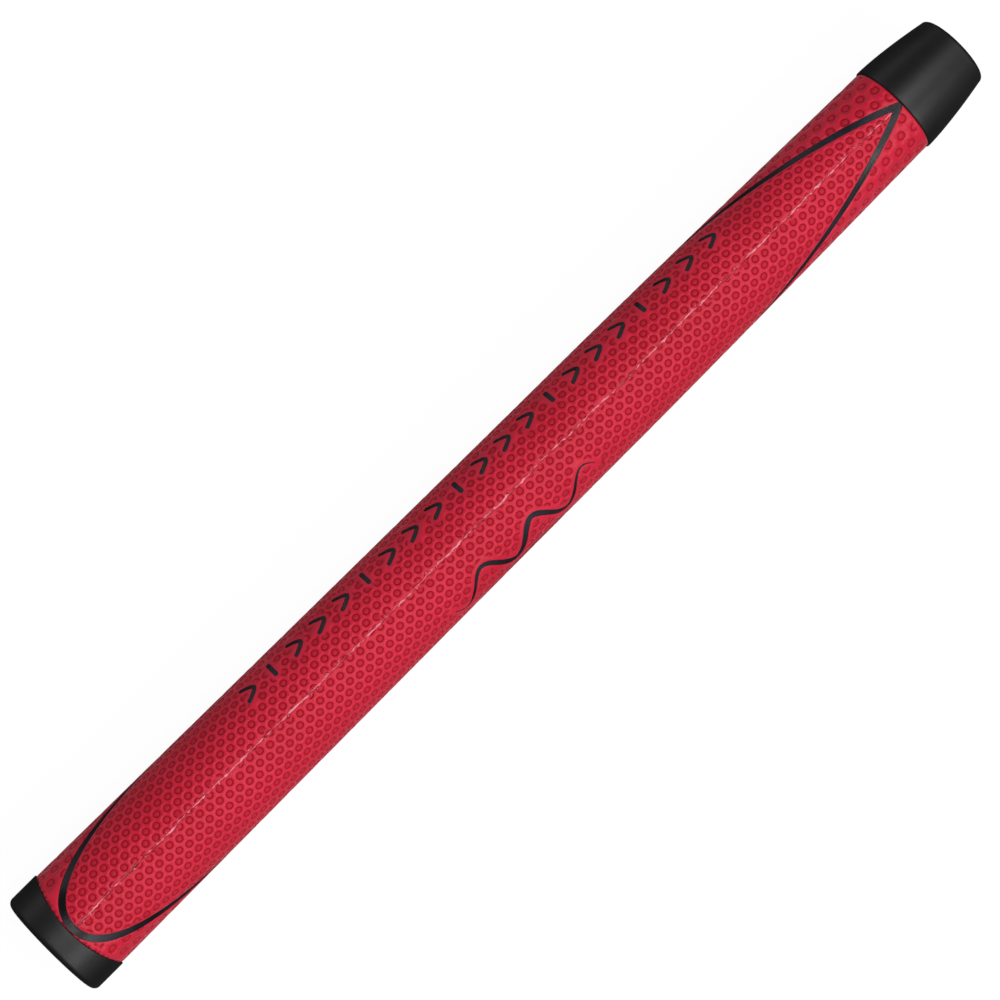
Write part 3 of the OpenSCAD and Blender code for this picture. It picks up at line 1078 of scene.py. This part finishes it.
# ---------------------------------------------------------------------------------------
# Studio: the grip lies on a pale floor under a long soft light, with a key light at its
# right and a weak strip low on each side. Floor and sky look white to the camera, but light
# the grip weakly. The camera looks down with a long lens.

FLOOR_AT = -0.0129
FLOOR_HALF = 3.0
FLOOR_DARK = (0.05, 0.05, 0.05, 1)
FLOOR_LIGHT = (0.055, 0.055, 0.055, 1)
FLOOR_GLOW = 0.95
SKY_FILL = 0.14
SKY_SEEN = 1.0


def build_floor():
    """The floor: a square sheet that glows for the camera alone."""
    mesh = bpy.data.meshes.new("floor")
    shaped = bmesh.new()
    for x, y in ((-1, -1), (1, -1), (1, 1), (-1, 1)):
        shaped.verts.new((x * FLOOR_HALF, y * FLOOR_HALF, FLOOR_AT))
    shaped.faces.new(shaped.verts)
    shaped.to_mesh(mesh)
    shaped.free()
    floor = bpy.data.objects.new("floor", mesh)
    bpy.context.scene.collection.objects.link(floor)
    white = finish_with("floor_white", FLOOR_DARK, FLOOR_LIGHT, 0.9, 1.0, 60, 2, 0.00001)
    nodes, links = white.node_tree.nodes, white.node_tree.links
    seen = nodes.new("ShaderNodeLightPath")
    glow = map_range(nodes, links, seen.outputs["Is Camera Ray"], 0, 1, 0, FLOOR_GLOW)
    links.new(glow, nodes["Principled BSDF"].inputs["Emission Strength"])
    nodes["Principled BSDF"].inputs["Emission Color"].default_value = (1, 1, 1, 1)
    mesh.materials.append(white)


build_floor()

world = bpy.data.worlds.new("studio")
bpy.context.scene.world = world
world.use_nodes = True
world.node_tree.nodes["Background"].inputs["Color"].default_value = (1, 1, 1, 1)
nodes, links = world.node_tree.nodes, world.node_tree.links
seen = nodes.new("ShaderNodeLightPath")
strength = map_range(nodes, links, seen.outputs["Is Camera Ray"], 0, 1, SKY_FILL, SKY_SEEN)
links.new(strength, nodes["Background"].inputs["Strength"])


def soft_light(name, place, towards, across, along, power):
    """A rectangular soft box, turned to face a point, its long side along the grip."""
    data = bpy.data.lights.new(name, "AREA")
    data.shape = "RECTANGLE"
    data.size = along
    data.size_y = across
    data.energy = power
    light = bpy.data.objects.new(name, data)
    bpy.context.scene.collection.objects.link(light)
    back = (Vector(place) - Vector(towards)).normalized()
    side = Vector((1, 0, 0))
    up = back.cross(side).normalized()
    side = up.cross(back).normalized()
    light.matrix_world = Matrix.Translation(Vector(place)) @ Matrix((side, up, back)).transposed().to_4x4()


GRIP_MIDDLE = (-0.1335, 0, 0)
soft_light("key_light", (-0.1335, -0.85, 0.85), GRIP_MIDDLE, 0.5, 1.2, 9.5)
soft_light("top_light", (0.09, -0.03, 1.25), GRIP_MIDDLE, 0.6, 1.2, 9.7)
soft_light("left_strip", (-0.1335, 0.8, 0.16), GRIP_MIDDLE, 0.25, 1.2, 1.1)
soft_light("right_strip", (-0.1335, -0.8, 0.12), GRIP_MIDDLE, 0.2, 1.2, 0.5)

camera_data = bpy.data.cameras.new("camera")
camera = bpy.data.objects.new("camera", camera_data)
bpy.context.scene.collection.objects.link(camera)
bpy.context.scene.camera = camera
CAMERA_PLACE = Vector((-0.2025, 0.0211, 0.8040))
CAMERA_AIM = Vector((-0.1357, 0.0001, 0))
CAMERA_ROLL = math.radians(44.85)
CAMERA_LENS = 139.08
camera_data.sensor_width = 36
camera_data.lens = CAMERA_LENS
camera_data.clip_start = 0.01
sight = (CAMERA_AIM - CAMERA_PLACE).normalized()
to_mouth = (Vector((1, 0, 0)) - sight * sight.x).normalized()
across_grip = sight.cross(to_mouth)
camera_right = to_mouth * math.cos(CAMERA_ROLL) + across_grip * math.sin(CAMERA_ROLL)
camera_up = to_mouth * math.sin(CAMERA_ROLL) - across_grip * math.cos(CAMERA_ROLL)
turned = Matrix((camera_right, camera_up, -sight)).transposed().to_4x4()
camera.matrix_world = Matrix.Translation(CAMERA_PLACE) @ turned

bpy.context.scene.view_settings.view_transform = "Standard"
